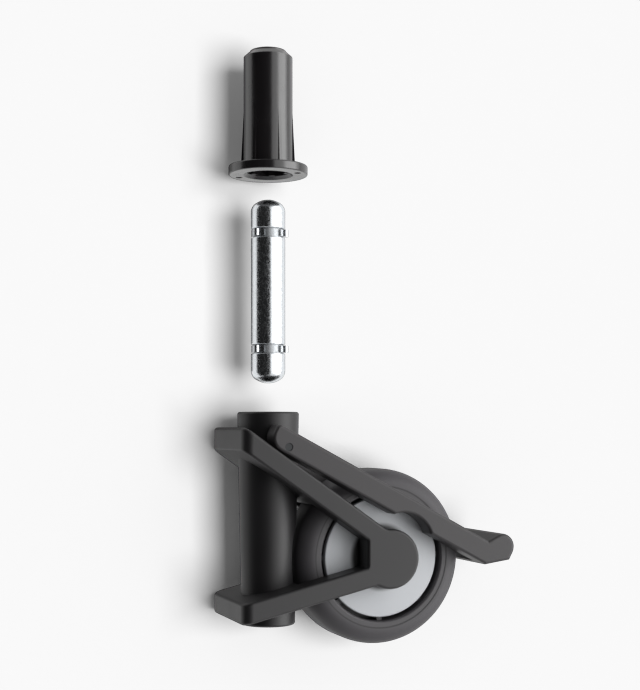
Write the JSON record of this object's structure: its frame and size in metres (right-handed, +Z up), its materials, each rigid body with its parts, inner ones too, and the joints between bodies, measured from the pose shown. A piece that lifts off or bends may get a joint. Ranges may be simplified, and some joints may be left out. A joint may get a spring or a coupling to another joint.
{
  "type": "furniture castor",
  "caption": "Swivel castor with a foot brake, shown taken apart on its axis: flanged leg socket, stem pin with spring rings, and a moulded frame with a soft-tread wheel.",
  "frame": {"origin": "centre of the flange's upper face, which meets the underside of the furniture", "axes": "+Z up along the swivel axis, +X towards the wheel, and Y along the axle"},
  "size_m": [0.0819, 0.0306, 0.1676],
  "materials": {
    "socket": "gloss",
    "steel": "bright zinc plate",
    "ring": "bright spring steel",
    "frame": "satin",
    "core": "satin",
    "tread": "matte",
    "disc": "satin"
  },
  "bodies": {
    "socket": {"socket": "socket"},
    "retaining_ring": {"upper_ring": "ring"},
    "pin": {"stem_pin": "steel", "lower_ring": "ring"},
    "castor": {"frame": "frame", "axle": "steel", "near_pivot_pin": "steel", "far_pivot_pin": "steel"},
    "wheel": {"wheel_core": "core", "tyre": "tread", "near_disc": "disc", "far_disc": "disc"},
    "brake": {"brake_lever": "frame"}
  },
  "joints": [
    {"name": "socket_slide", "type": "slide", "parent": "socket", "child": "retaining_ring", "axis": [0, 0, 1], "range_m": [0, 0.0325]},
    {"name": "swivel", "type": "hinge", "parent": "retaining_ring", "child": "pin", "pos_m": [0, 0, -0.03515], "axis": [0, 0, 1], "continuous": true},
    {"name": "tube_slide", "type": "slide", "parent": "pin", "child": "castor", "axis": [0, 0, 1], "range_m": [0, 0.0337]},
    {"name": "wheel_spin", "type": "hinge", "parent": "castor", "child": "wheel", "pos_m": [0.0314, 0, -0.1102], "axis": [0, 1, 0], "continuous": true},
    {"name": "brake_pivot", "type": "hinge", "parent": "castor", "child": "brake", "pos_m": [0.001, 0, -0.07874], "axis": [0, 1, 0], "range_deg": [0, 6.8]}
  ]
}
